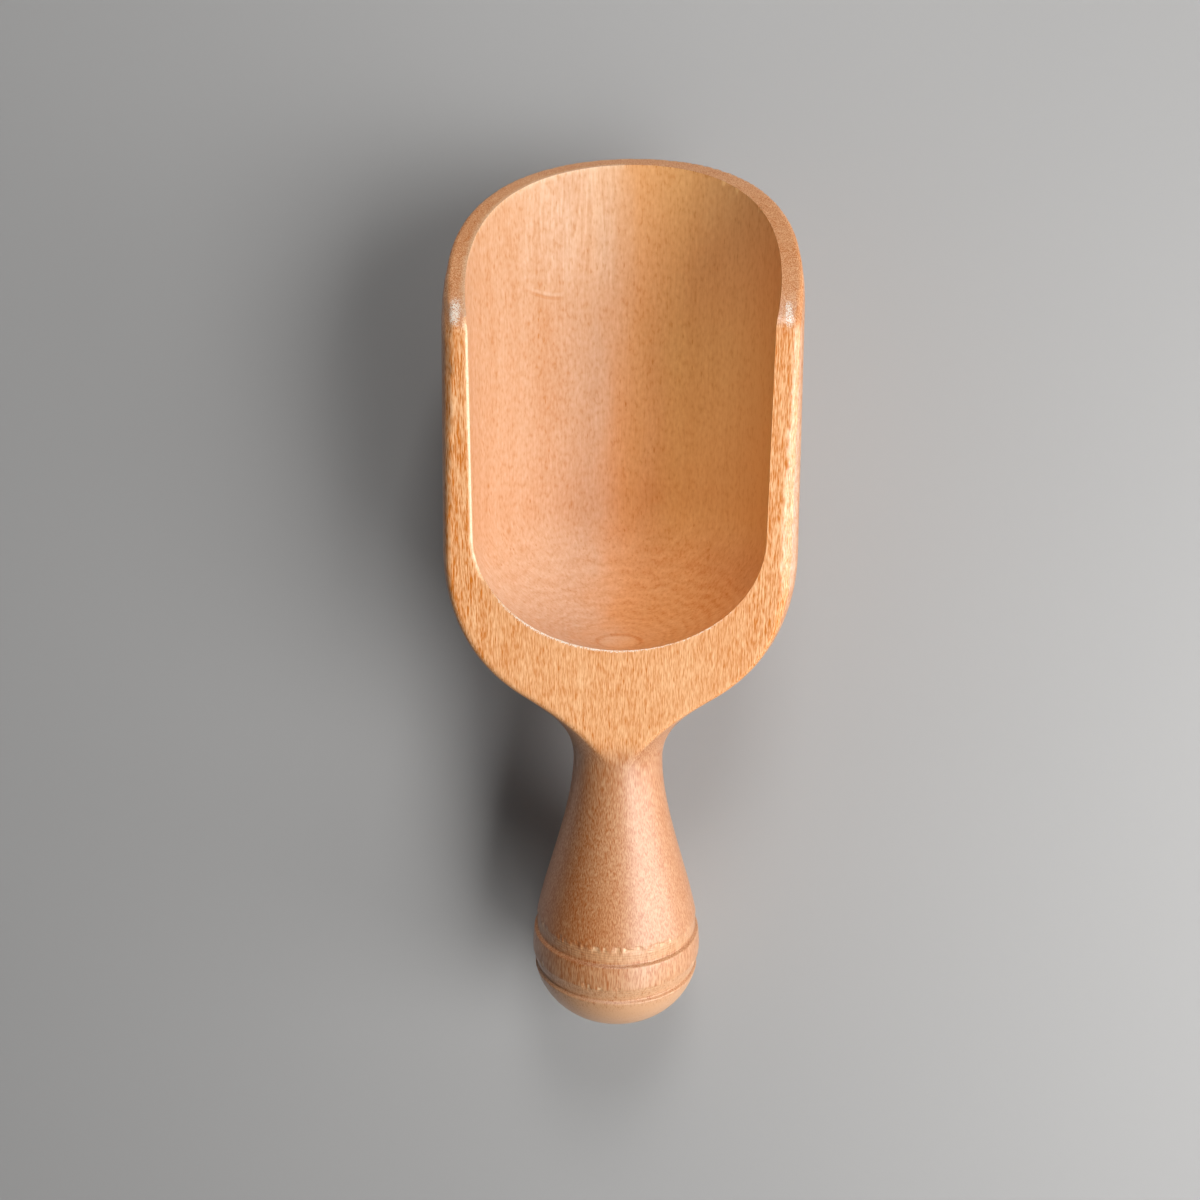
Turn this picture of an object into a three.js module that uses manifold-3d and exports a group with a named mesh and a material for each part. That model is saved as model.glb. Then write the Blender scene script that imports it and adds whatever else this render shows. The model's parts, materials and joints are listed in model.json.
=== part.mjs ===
// A small turned wooden scoop, in millimetres with +Z up: a bored bowl with a sawn rim and a swept front lip, and a
// knobbed handle whose round tenon is glued into the bowl's heel. It lies at rest on the heel and the knob, lip forward.
import * as THREE from "three";
import { mergeVertices } from "three/addons/utils/BufferGeometryUtils.js";
import Module from "manifold-3d";

// Outside of the bowl, measured along the turning axis from the shoulder where the handle meets it
const BOWL_LENGTH = 99.5; // shoulder to the tip of the lip
const BOWL_DIAMETER = 58; // at the widest, where the heel ends
const LIP_DIAMETER = 55.2; // the wall tapers a little towards the lip
const HEEL_LENGTH = 36.5; // shoulder to the start of the straight wall
const HEEL_ROUND = 15; // length of the curve that rolls the straight wall into the heel
const COVE_LENGTH = 13; // length of the hollow curve from the heel down to the neck
const COVE_DIAMETER = 34.6; // diameter where the rounded heel turns into that hollow
const COVE_SLOPE = 55; // degrees between the axis and the surface there
const COVE_EASE = 4.5; // length over which the hollow keeps that slope
const HEEL_EASE = 3.2; // length over which the rounded heel keeps that slope
const NECK_EASE = 6.2; // length over which the hollow runs out on the neck
const NECK_DIAMETER = 15.4;

// Inside of the bowl
const BORE_DIAMETER = 48.9;
const BORE_MOUTH_DIAMETER = 49; // the bore opens very slightly towards the lip
const BORE_END_ROUND = 19.5; // depth of the rounded end of the bore
const HEEL_WOOD = 20.4; // wood left on the axis between the bore's end and the shoulder

// Saw cuts: a flat rim that runs out on the neck, then a bulging sweep down to the lip
const RIM_OVER_NECK = 0.05; // height of the rim's plane over the top of the neck
const SWEEP_LENGTH = 26.7; // along the axis, from the end of the flat rim to the tip of the lip
const SWEEP_BULGE = 2.5; // how far the sweep stands out from a straight cut
const SWEEP_EASE = 1.2; // how far the corner between rim and sweep is eased on each side
const SWEEP_SKEW = 1.5; // degrees that the front cut is off square, as hand work is

// Handle
const HANDLE_LENGTH = 50; // shoulder to the end of the knob
const KNOB_DIAMETER = 30;
const KNOB_FROM_END = 13.5; // where the knob is widest
const NECK_SWELL = 12; // length over which the neck stays slim
const KNOB_SWELL = 10; // length over which the grip settles into the knob
const DOME_SHOULDER = 9; // length over which the dome leaves the knob
const DOME_CROWN = 8; // radius over which the end of the dome stays flat
const GROOVES_FROM_END = [17.4, 10.4]; // foot of each cut groove
const GROOVE_WIDTH = 2.7;
const GROOVE_DEPTH = 0.8;
const GROOVE_STEP = 0.3; // run of the steep side of a groove

// Glued joint
const TENON_DIAMETER = 9;
const TENON_LENGTH = 12;
const TENON_CHAMFER = 0.8;
const GLUE_GAP = 0.3; // clearance all round the tenon and under its shoulder

// Fineness of the curved surfaces, and how far a cutter runs past what it cuts
const AROUND = 64;
const CURVE_STEPS = 10;
const GROOVED_STEPS = 16;
const CUTTER_MARGIN = 5;

const wasm = await Module();
wasm.setup();

// A closed three.js geometry as a solid that can be joined and cut.
function solid(geometry) {
  const bare = geometry.clone();
  bare.deleteAttribute("normal");
  bare.deleteAttribute("uv");
  const merged = mergeVertices(bare, 1e-4);
  return new wasm.Manifold(
    new wasm.Mesh({
      numProp: 3,
      vertProperties: merged.attributes.position.array,
      triVerts: new Uint32Array(merged.index.array),
    }),
  );
}

// A named mesh of a finished solid.
function meshOf(name, finished, material) {
  const { vertProperties, triVerts } = finished.getMesh();
  const geometry = new THREE.BufferGeometry();
  geometry.setAttribute("position", new THREE.BufferAttribute(vertProperties, 3));
  geometry.setIndex(new THREE.BufferAttribute(triVerts, 1));
  geometry.computeVertexNormals();
  const mesh = new THREE.Mesh(geometry, material);
  mesh.name = name;
  return mesh;
}

// A profile of (radius, place along the axis) points turned about Y, with one flat of the facets facing straight down.
function turned(profile) {
  const halfFacet = Math.PI / AROUND;
  return solid(new THREE.LatheGeometry(profile, AROUND, halfFacet, 2 * Math.PI));
}

// A curve between two points that leaves the first and reaches the second along the given handles.
function bend(from, fromHandle, to, toHandle, steps) {
  const curve = new THREE.CubicBezierCurve(from, from.clone().add(fromHandle), to.clone().add(toHandle), to);
  return curve.getPoints(steps);
}

const point = (radius, along) => new THREE.Vector2(radius, along);

// Outside of the bowl from the shoulder to the lip, neck first.
function bowlOutline() {
  const slope = THREE.MathUtils.degToRad(COVE_SLOPE);
  const neck = point(NECK_DIAMETER / 2, 0);
  const turn = point(COVE_DIAMETER / 2, COVE_LENGTH);
  const wall = point(BOWL_DIAMETER / 2, HEEL_LENGTH);
  const lip = point(LIP_DIAMETER / 2, BOWL_LENGTH);
  const alongTurn = (length) => point(Math.sin(slope), Math.cos(slope)).multiplyScalar(length);
  const cove = bend(neck, point(0, NECK_EASE), turn, alongTurn(-COVE_EASE), CURVE_STEPS);
  const heel = bend(turn, alongTurn(HEEL_EASE), wall, point(0, -HEEL_ROUND), CURVE_STEPS);
  return [...cove, ...heel.slice(1), lip];
}

// Wall of the bore from its rounded end to the lip.
function boreOutline() {
  const outline = [];
  for (let i = 0; i <= CURVE_STEPS; i += 1) {
    const angle = (i / CURVE_STEPS) * (Math.PI / 2);
    const radius = (BORE_DIAMETER / 2) * Math.sin(angle);
    outline.push(point(radius, HEEL_WOOD + BORE_END_ROUND * (1 - Math.cos(angle))));
  }
  outline.push(point(BORE_MOUTH_DIAMETER / 2, BOWL_LENGTH));
  return outline;
}

// The solid that the saw takes off: over the flat rim, and in front of the sweep down to the lip.
function sawnOff() {
  const rim = NECK_DIAMETER / 2 + RIM_OVER_NECK;
  const corner = point(BOWL_LENGTH - SWEEP_LENGTH, rim);
  const tip = point(BOWL_LENGTH, -LIP_DIAMETER / 2);
  const chord = tip.clone().sub(corner);
  const outward = point(-chord.y, chord.x).normalize();
  const radius = chord.lengthSq() / (8 * SWEEP_BULGE) + SWEEP_BULGE / 2;
  const centre = corner.clone().lerp(tip, 0.5).addScaledVector(outward, SWEEP_BULGE - radius);
  const angleOf = (place) => Math.atan2(place.y - centre.y, place.x - centre.x);
  const eased = angleOf(corner) - SWEEP_EASE / radius;
  const past = angleOf(tip) - CUTTER_MARGIN / radius;
  const back = -CUTTER_MARGIN;
  const front = BOWL_LENGTH + 2 * CUTTER_MARGIN;
  const top = BOWL_DIAMETER / 2 + CUTTER_MARGIN;
  const side = new THREE.Shape();
  side.moveTo(back, rim);
  side.lineTo(corner.x - SWEEP_EASE, rim);
  side.quadraticCurveTo(
    corner.x,
    corner.y,
    centre.x + radius * Math.cos(eased),
    centre.y + radius * Math.sin(eased),
  );
  side.absarc(centre.x, centre.y, radius, eased, past, true);
  side.lineTo(front, centre.y + radius * Math.sin(past));
  side.lineTo(front, top);
  side.lineTo(back, top);
  const width = 2 * BOWL_DIAMETER;
  const cutter = new THREE.ExtrudeGeometry(side, { depth: width, bevelEnabled: false, curveSegments: CURVE_STEPS });
  cutter.translate(0, 0, -width / 2);
  const lengthwise = new THREE.Vector3(0, 1, 0);
  const upward = new THREE.Vector3(0, 0, 1);
  const sideways = new THREE.Vector3(1, 0, 0);
  cutter.applyMatrix4(new THREE.Matrix4().makeBasis(lengthwise, upward, sideways));
  cutter.translate(0, -BOWL_LENGTH, 0);
  cutter.rotateZ(THREE.MathUtils.degToRad(SWEEP_SKEW));
  cutter.translate(0, BOWL_LENGTH, 0);
  return solid(cutter);
}

// Blind hole in the heel for the tenon.
function socket() {
  const radius = TENON_DIAMETER / 2 + GLUE_GAP;
  const depth = TENON_LENGTH + GLUE_GAP;
  return turned([point(0, -CUTTER_MARGIN), point(radius, -CUTTER_MARGIN), point(radius, depth), point(0, depth)]);
}

// The bowl: turned outside, bored inside, sawn to its rim and lip, and drilled for the handle.
function bowlSolid() {
  const outline = bowlOutline();
  const outside = turned([point(0, 0), ...outline, point(0, BOWL_LENGTH)]);
  const bore = boreOutline();
  const mouth = point(BORE_MOUTH_DIAMETER / 2, BOWL_LENGTH + CUTTER_MARGIN);
  const hollow = turned([...bore, mouth, point(0, mouth.y)]);
  return outside.subtract(hollow).subtract(sawnOff()).subtract(socket());
}

// Outside of the handle without its grooves, from the dome's end up to the shoulder.
function handleEnvelope() {
  const end = point(0, -HANDLE_LENGTH);
  const knob = point(KNOB_DIAMETER / 2, KNOB_FROM_END - HANDLE_LENGTH);
  const neck = point(NECK_DIAMETER / 2, -GLUE_GAP);
  const dome = bend(end, point(DOME_CROWN, 0), knob, point(0, -DOME_SHOULDER), GROOVED_STEPS);
  const grip = bend(knob, point(0, KNOB_SWELL), neck, point(0, -NECK_SWELL), GROOVED_STEPS);
  return [...dome, ...grip.slice(1)];
}

// Radius of an outline at a place along the axis.
function radiusAt(outline, along) {
  const after = outline.findIndex((p) => p.y >= along);
  const before = outline[after - 1];
  const share = (along - before.y) / (outline[after].y - before.y);
  return THREE.MathUtils.lerp(before.x, outline[after].x, share);
}

// The outline with a groove cut into it: steep on the side of the knob's end, sloping towards the neck.
function grooved(outline, foot) {
  const brow = foot + GROOVE_WIDTH;
  const edge = foot - GROOVE_STEP;
  const cut = [
    point(radiusAt(outline, edge), edge),
    point(radiusAt(outline, foot) - GROOVE_DEPTH, foot),
    point(radiusAt(outline, brow), brow),
  ];
  const below = outline.filter((p) => p.y < edge);
  const above = outline.filter((p) => p.y > brow);
  return [...below, ...cut, ...above];
}

// Outside of the whole handle from the dome's end to the shoulder.
function handleOutline() {
  let outline = handleEnvelope();
  for (const fromEnd of GROOVES_FROM_END) outline = grooved(outline, fromEnd - HANDLE_LENGTH);
  return outline;
}

// The handle, turned in one with its tenon.
function handleSolid() {
  const radius = TENON_DIAMETER / 2;
  return turned([
    ...handleOutline(),
    point(radius, -GLUE_GAP),
    point(radius, TENON_LENGTH - TENON_CHAMFER),
    point(radius - TENON_CHAMFER, TENON_LENGTH),
    point(0, TENON_LENGTH),
  ]);
}

// Angle at which the scoop lies when its heel and its knob both touch a table: the steepest line from the knob to
// the bowl that leaves the whole outline on one side.
function restTilt() {
  const below = [];
  for (const p of [...handleOutline(), ...bowlOutline()]) {
    const bulges = (a, b) => (b.x - a.x) * (p.y - b.y) > (p.x - b.x) * (b.y - a.y);
    while (below.length > 1 && !bulges(below.at(-2), below.at(-1))) below.pop();
    below.push(p);
  }
  const heel = below.findIndex((p) => p.y > 0);
  const touch = [below[heel - 1], below[heel]];
  return Math.atan2(touch[1].x - touch[0].x, touch[1].y - touch[0].y);
}

const bowl = meshOf(
  "bowl",
  bowlSolid(),
  new THREE.MeshStandardMaterial({ color: 0xd09a62, roughness: 0.5, metalness: 0 }),
);
const handle = meshOf(
  "handle",
  handleSolid(),
  new THREE.MeshStandardMaterial({ color: 0xc98f58, roughness: 0.45, metalness: 0 }),
);

// The turning axis leans back by the rest angle, and the part stands on its origin, at the middle of its footprint.
const scoop = new THREE.Group();
scoop.add(bowl, handle);
scoop.rotation.x = restTilt();
const part = new THREE.Group();
part.add(scoop);
const reach = new THREE.Box3().setFromObject(part, true);
const middle = reach.getCenter(new THREE.Vector3());
scoop.position.set(-middle.x, -middle.y, -reach.min.z);

export default part;
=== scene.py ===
"""A small turned wooden scoop on a pale table, laid out as an add-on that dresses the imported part."""

import json
import math
from types import SimpleNamespace

import bpy
import numpy as np
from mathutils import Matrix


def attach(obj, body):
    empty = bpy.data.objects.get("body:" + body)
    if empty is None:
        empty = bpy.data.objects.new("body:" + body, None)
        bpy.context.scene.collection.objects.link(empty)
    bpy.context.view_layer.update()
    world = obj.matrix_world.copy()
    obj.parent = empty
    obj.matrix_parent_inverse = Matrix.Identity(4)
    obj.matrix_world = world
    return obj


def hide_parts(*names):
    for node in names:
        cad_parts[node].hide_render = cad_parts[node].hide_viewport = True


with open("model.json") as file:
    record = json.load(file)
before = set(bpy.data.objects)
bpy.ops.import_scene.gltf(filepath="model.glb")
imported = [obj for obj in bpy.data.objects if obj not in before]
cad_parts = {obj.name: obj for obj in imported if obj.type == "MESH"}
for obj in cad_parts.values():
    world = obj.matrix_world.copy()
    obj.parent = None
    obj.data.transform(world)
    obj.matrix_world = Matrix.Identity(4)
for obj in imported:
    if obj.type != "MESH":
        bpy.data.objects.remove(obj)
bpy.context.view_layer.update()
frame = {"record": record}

bl_info = {
    "name": "Wooden scoop",
    "version": (1, 0, 0),
    "blender": (4, 5, 0),
    "location": "View3D > Sidebar > Scoop",
    "description": "Builds a turned wooden scoop with a bored bowl, a sawn rim and a grooved knob handle",
    "category": "Add Mesh",
}

# How the scoop lies: the rise of its turning axis towards the lip, and the place of its neck joint
RIM_UP = frame["record"]["mounts"][0]["axis"]
TILT = math.atan2(-RIM_UP[1], RIM_UP[2])
NECK_JOINT = (0.0, -0.0267548, 0.0220113)

# Millimetres in a metre, and a length that counts as nothing
MM = 1000.0
TINY = 1e-6

# Sides of a rough and of a finely turned solid, and the angle past which an edge stays sharp
ROUGH_SIDES = 120
FINE_SIDES = 360
SHARP_ANGLE = math.radians(60.0)

# Seeds of the random draws for the burr and for the chips
BURR_SEED = 5
CHIP_SEED = 11

# Width of the table top, and its height just under the scoop
TABLE_WIDTH = 6.0
TABLE_HEIGHT = -0.0001


def length(name, default, description):
    """A length in metres that a user can change."""
    return bpy.props.FloatProperty(
        name=name, description=description, default=default, min=0.0, precision=5, unit="LENGTH"
    )


def colour(name, default, description):
    """A colour in linear values that a user can change."""
    return bpy.props.FloatVectorProperty(
        name=name, description=description, default=default, size=3, min=0.0, max=1.0, subtype="COLOR"
    )


def number(name, default, description):
    """A plain amount that a user can change."""
    return bpy.props.FloatProperty(name=name, description=description, default=default, min=0.0)


class ScoopBowlSizes(bpy.types.PropertyGroup):
    """Sizes of the bored bowl, measured along the turning axis from the neck joint."""

    lip_reach: length("Lip reach", 0.0995, "From the neck joint to the tip of the lip")
    wall_diameter: length("Wall diameter", 0.058, "Across the turned wall in front of the heel")
    lip_diameter: length("Lip diameter", 0.0552, "Across the turned wall at the lip")
    heel_reach: length("Heel reach", 0.0365, "From the neck joint to the end of the rounded heel")
    heel_round: length("Heel round", 0.015, "How far the heel's curve leans on the wall")
    heel_ease: length("Heel ease", 0.0032, "How far the heel's curve leans on the cove")
    cove_reach: length("Cove reach", 0.013, "From the neck joint to the turn between cove and heel")
    cove_diameter: length("Cove diameter", 0.0346, "Across the turn between cove and heel")
    cove_ease: length("Cove ease", 0.0045, "How far the cove's curve leans on the turn")
    cove_slope: bpy.props.FloatProperty(
        name="Cove slope",
        description="Angle of the turn to the axis",
        default=math.radians(55.0),
        subtype="ANGLE",
    )
    neck_ease: length("Neck ease", 0.0062, "How far the cove's curve leans on the neck")
    neck_diameter: length("Neck diameter", 0.0154, "Across the neck at the joint")
    bore_diameter: length("Bore diameter", 0.0489, "Across the bore where its round end starts")
    mouth_diameter: length("Mouth diameter", 0.049, "Across the bore at the lip")
    bore_round: length("Bore round", 0.0195, "Depth of the bore's round end")
    heel_wood: length("Heel wood", 0.0204, "Solid wood between the neck joint and the bore")
    rim_height: length("Rim height", 0.00775, "Height of the sawn rim over the axis")
    sweep_length: length("Sweep length", 0.0267, "Length of the swept front cut along the axis")
    sweep_bulge: length("Sweep bulge", 0.0025, "How far the front cut bows out")
    sweep_ease: length("Sweep ease", 0.0012, "Easing of the corner between rim and front cut")
    sweep_skew: bpy.props.FloatProperty(
        name="Sweep skew",
        description="How far the front cut is off square",
        default=math.radians(1.5),
        subtype="ANGLE",
    )
    inner_edge: length("Inner edge", 0.0003, "Rounding of the rim's inner edge")
    left_edge: length("Left edge", 0.0006, "Rounding of the inner edge along the left wall")
    bevel_left_back: length("Bevel left back", 0.0007, "Bevel sanded on the left rim at the heel")
    bevel_left_front: length("Bevel left front", 0.0014, "Bevel sanded on the left rim at the front cut")
    bevel_right_back: length("Bevel right back", 0.0021, "Bevel sanded on the right rim at the heel")
    bevel_right_front: length("Bevel right front", 0.001, "Bevel sanded on the right rim at the front cut")
    bevel_lip: length("Bevel lip", 0.0003, "Bevel outside the lip and the heel")
    burr: length("Burr", 0.00005, "Height of the ragged fibres at the back of the bore")
    mark_diameter: length("Mark diameter", 0.0074, "Across the round mark that the borer left")
    mark_depth: length("Mark depth", 0.00022, "Depth of the borer's mark")
    socket_diameter: length("Socket diameter", 0.0096, "Across the blind socket for the tenon")
    socket_depth: length("Socket depth", 0.0123, "Depth of the blind socket")
    grain: length("Mesh grain", 0.0005, "Edge length of the fine mesh")


class ScoopHandleSizes(bpy.types.PropertyGroup):
    """Sizes of the turned handle, measured along the turning axis from the neck joint."""

    reach: length("Reach", 0.05, "From the neck joint to the domed end")
    neck_diameter: length("Neck diameter", 0.0154, "Across the neck at the joint")
    neck_swell: length("Neck swell", 0.012, "How far the grip's curve leans on the neck")
    knob_diameter: length("Knob diameter", 0.03, "Across the widest part of the knob")
    knob_from_end: length("Knob from end", 0.0135, "From the domed end to the widest part")
    knob_swell: length("Knob swell", 0.01, "How far the grip's curve leans on the knob")
    dome_shoulder: length("Dome shoulder", 0.009, "How far the dome's curve leans on the knob")
    dome_crown: length("Dome crown", 0.008, "How flat the middle of the domed end is")
    first_groove: length("First groove", 0.0174, "From the domed end to the foot of the upper groove")
    second_groove: length("Second groove", 0.0104, "From the domed end to the foot of the lower groove")
    groove_width: length("Groove width", 0.0027, "Width of each groove's long slope")
    groove_depth: length("Groove depth", 0.0006, "Depth of each groove")
    groove_step: length("Groove step", 0.00025, "Width of each groove's steep side")
    tenon_diameter: length("Tenon diameter", 0.009, "Across the round tenon")
    tenon_length: length("Tenon length", 0.012, "Length of the round tenon")
    tenon_chamfer: length("Tenon chamfer", 0.0008, "Chamfer on the end of the tenon")
    chip_size: length("Chip size", 0.0006, "Width of the chips along the groove lips")
    chip_depth: length("Chip depth", 0.00014, "Depth of the chips along the groove lips")


class ScoopWoodLook(bpy.types.PropertyGroup):
    """Colours and grain of the wood, and colours of painted light on it."""

    pale: colour("Pale wood", (0.96, 0.560, 0.290), "The palest wood between fibres and year rings")
    deep: colour("Deep wood", (0.62, 0.175, 0.012), "The deepest wood, in pores and late rings")
    # Painted sheen: a pinker, paler colour on the bowl's left inner wall, which faces the lamps
    painted_sheen: colour("Sapwood", (0.85, 0.590, 0.415), "Pinkish wood inside the left of the bowl")
    # Painted fill light: a yellower colour on the bowl's right inner wall, which lies in shade
    gold: colour("Heartwood", (0.97, 0.620, 0.246), "Golden wood inside the right of the bowl")
    oiled: colour("Oiled wood", (0.69, 0.375, 0.190), "Wood darkened by the finish on turned surfaces")
    raw: colour("Raw wood", (0.95, 0.600, 0.330), "Torn fibres on chips and in grooves")
    # The burr colour also paints speckled glints on the rim's crests
    burr: colour("Burr", (0.95, 0.830, 0.690), "Ragged fibres behind the bore and on the rim's crests")
    # Painted highlight: pale colour along the rim's left inner edge and on its right bevel
    edge_glint: colour("Arris", (1.0, 0.780, 0.520), "Wood worn pale along the rim's edges")
    # Colour of the darkening along the foot of each groove
    foot_darkening: colour("Dirt", (0.20, 0.090, 0.045), "Dirt in the grooves")
    ring: length("Ring spacing", 0.0027, "Distance between year rings")
    pith_side: length("Pith to the side", 0.006, "How far the heart of the tree lies to the right")
    pith_above: length("Pith above", 0.045, "How far the heart of the tree lies over the axis")
    gloss: number("Roughness", 0.48, "Roughness of the turned surface under its finish")


class ScoopStageLook(bpy.types.PropertyGroup):
    """Table, lamps and camera."""

    floor: colour("Table", (0.37, 0.365, 0.36), "Colour of the table top")
    key: number("Key lamp", 3.4, "Power of the long soft lamp high on the right, in watts")
    side: number("Side lamp", 1.6, "Power of the soft lamp low on the right, in watts")
    front: number("Front lamp", 2.3, "Power of the soft lamp beyond the lip, in watts")
    back: number("Back lamp", 0.8, "Power of the soft lamp beyond the handle, in watts")
    sky: number("Sky", 0.055, "Strength of the even light from all sides")


def curve(start, start_lean, end_lean, end, count):
    """Points on a cubic curve through start and end, which leans on the two inner points."""
    t = np.linspace(0.0, 1.0, count)[:, None]
    parts = [np.array(p) for p in (start, start_lean, end_lean, end)]
    weights = ((1 - t) ** 3, 3 * t * (1 - t) ** 2, 3 * t ** 2 * (1 - t), t ** 3)
    return sum(w * p for w, p in zip(weights, parts))


def ramp(value, low, high):
    """Soft step from 0 at low to 1 at high."""
    t = np.clip((value - low) / (high - low), 0.0, 1.0)
    return t * t * (3.0 - 2.0 * t)


def window(value, start, full, fade, gone):
    """1 from full to fade, falling softly to 0 at start and at gone."""
    return ramp(value, start, full) * (1 - ramp(value, fade, gone))


def close_to(value, near, far):
    """1 as far as near from zero, falling softly to 0 at far."""
    return 1 - ramp(np.abs(value), near, far)


def rounded(first, second, radius):
    """Signed distance of what lies inside both shapes, with their common edge rounded."""
    a = np.maximum(first + radius, 0.0)
    b = np.maximum(second + radius, 0.0)
    return np.minimum(np.maximum(first, second), -radius) + np.sqrt(a * a + b * b)


class BowlForm:
    """The bowl's true surface as signed distances, with x across, y along the axis and z up."""

    # Roundings between wall and bevel and between bevel and saw cut, and the border of the borer's mark
    BEVEL_ROUND = 0.0006
    RIM_ROUND = 0.00025
    MARK_BORDER = 0.0003
    # Points on each curve of the outside, on the front cut and on its eased corner
    CURVE_POINTS = 120
    FRONT_POINTS = 240
    EASE_POINTS = 40
    # Where the saw line starts, behind the neck, and where it ends, in lengths of the front cut
    SAW_START = -0.05
    SAW_END = 1.15
    # From the cove to where the bevel starts, and the share of the front cut on which it fades
    BEVEL_START = 0.004
    BEVEL_FADE = 0.6
    # Half the width on which the left bevel passes into the right one
    BEVEL_CHANGE = 0.004
    # How fast wall and saw cut together grow across the bevel
    BEVEL_STEEPNESS = 1.6
    # Least share of the edge that is left where the saw cut runs out on the neck
    LEAST_EDGE = 0.02
    # Where the wider inner edge ends to the right, where it starts past the heel, and its end at the corner
    LEFT_WALL = (-0.02, -0.012)
    LEFT_EDGE_START = 0.006
    LEFT_EDGE_END = (-0.002, 0.004)

    def __init__(self, s):
        self.sizes = s
        self.corner = s.lip_reach - s.sweep_length
        self.bore_start = s.heel_wood + s.bore_round
        self.wall_line = self.outline()
        self.saw_line = self.side_cut()
        self.saw_fall = np.gradient(self.saw_line[:, 1], self.saw_line[:, 0])
        self.wall_rise = np.gradient(self.wall_line[:, 0], self.wall_line[:, 1])

    def outline(self):
        """Radius and place along the axis of the turned outside, from the neck to the lip."""
        s = self.sizes
        count = self.CURVE_POINTS
        slope = np.array((math.sin(s.cove_slope), math.cos(s.cove_slope)))
        neck = np.array((s.neck_diameter / 2, 0.0))
        turn = np.array((s.cove_diameter / 2, s.cove_reach))
        wall = np.array((s.wall_diameter / 2, s.heel_reach))
        lip = np.array((s.lip_diameter / 2, s.lip_reach))
        cove = curve(neck, neck + (0.0, s.neck_ease), turn - slope * s.cove_ease, turn, count)
        heel = curve(turn, turn + slope * s.heel_ease, wall - (0.0, s.heel_round), wall, count)
        return np.vstack((cove, heel[1:], lip))

    def side_cut(self):
        """Place along the axis and height of the saw cut: flat rim, eased corner, bowed front."""
        s = self.sizes
        corner = np.array((self.corner, s.rim_height))
        tip = np.array((s.lip_reach, -s.lip_diameter / 2))
        chord = tip - corner
        reach = np.linalg.norm(chord)
        along = chord / reach
        out = np.array((-along[1], along[0]))
        bow = (reach * reach / 4 + s.sweep_bulge ** 2) / (2 * s.sweep_bulge)
        t = np.linspace(0.0, self.SAW_END, self.FRONT_POINTS)[:, None]
        offset = (t - 0.5) * reach
        lift = np.sqrt(bow * bow - offset * offset) - (bow - s.sweep_bulge)
        front = corner + along * t * reach + out * lift
        gone = np.linalg.norm(front - corner, axis=1)
        kept = front[gone > s.sweep_ease]
        start = corner - (s.sweep_ease, 0.0)
        t = np.linspace(0.0, 1.0, self.EASE_POINTS)[:, None]
        ease = start * (1 - t) ** 2 + corner * 2 * t * (1 - t) + kept[0] * t * t
        return np.vstack(((self.SAW_START, s.rim_height), ease, kept[1:]))

    def wall(self, p):
        """Distance outside the turned outside."""
        radius = np.hypot(p[:, 0], p[:, 2])
        rise = np.interp(p[:, 1], self.wall_line[:, 1], self.wall_rise)
        there = np.interp(p[:, 1], self.wall_line[:, 1], self.wall_line[:, 0])
        return (radius - there) / np.sqrt(1 + rise * rise)

    def bore(self, p):
        """Distance inside the bored hollow, with the borer's mark."""
        s = self.sizes
        radius = np.hypot(p[:, 0], p[:, 2])
        half = s.bore_diameter / 2
        start = self.bore_start
        widen = (s.mouth_diameter - s.bore_diameter) / 2 / (s.lip_reach - start)
        straight = half + widen * (p[:, 1] - start) - radius
        deep = start - p[:, 1]
        level = np.sqrt((radius / half) ** 2 + (deep / s.bore_round) ** 2)
        steep = np.hypot(radius / half ** 2, deep / s.bore_round ** 2) / np.maximum(level, TINY)
        border = s.mark_diameter / 2
        mark = 1 - ramp(radius, border - self.MARK_BORDER, border + self.MARK_BORDER)
        ended = (1 - level) / np.maximum(steep, 1.0) + s.mark_depth * mark
        return np.where(deep > 0, ended, straight)

    def saw(self, p):
        """Distance over the saw cut."""
        s = self.sizes
        past_lip = p[:, 1] - s.lip_reach
        turned = s.lip_reach + past_lip * math.cos(s.sweep_skew) - p[:, 0] * math.sin(s.sweep_skew)
        fall = np.interp(turned, self.saw_line[:, 0], self.saw_fall)
        there = np.interp(turned, self.saw_line[:, 0], self.saw_line[:, 1])
        return (p[:, 2] - there) / np.sqrt(1 + fall * fall)

    def free_edge(self, p):
        """1 where the saw cut meets the wall at an angle, and almost 0 where it runs out on the neck."""
        rise = np.interp(p[:, 1], self.wall_line[:, 1], self.wall_rise)
        fall = np.interp(p[:, 1], self.saw_line[:, 0], self.saw_fall)
        upward = p[:, 2] / np.maximum(np.hypot(p[:, 0], p[:, 2]), TINY)
        lean = (upward + rise * fall) / np.sqrt((1 + rise * rise) * (1 + fall * fall))
        return np.clip(1 - np.maximum(lean, 0.0) ** 2, self.LEAST_EDGE, 1.0)

    def bevel(self, p):
        """Width of the bevel sanded outside the rim, uneven as hand work is."""
        s = self.sizes
        front = ramp(p[:, 1], s.heel_reach, self.corner)
        left = s.bevel_left_back + (s.bevel_left_front - s.bevel_left_back) * front
        right = s.bevel_right_back + (s.bevel_right_front - s.bevel_right_back) * front
        wide = left + (right - left) * ramp(p[:, 0], -self.BEVEL_CHANGE, self.BEVEL_CHANGE)
        heel = ramp(p[:, 1], s.cove_reach + self.BEVEL_START, s.heel_reach)
        lip = ramp(p[:, 1], self.corner, self.corner + s.sweep_length * self.BEVEL_FADE)
        wide = s.bevel_lip + (wide - s.bevel_lip) * heel * (1 - lip)
        slow_waver = 0.08 * np.sin(900 * p[:, 1] + 300 * p[:, 0])
        quick_waver = 0.06 * np.sin(2100 * p[:, 1] + 1.3)
        return wide * (1 + slow_waver + quick_waver)

    def bevel_face(self, p):
        """Distance outside the bevel along the rim's outer edge."""
        return (self.wall(p) + self.saw(p) + self.bevel(p) * self.free_edge(p)) / self.BEVEL_STEEPNESS

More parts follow.
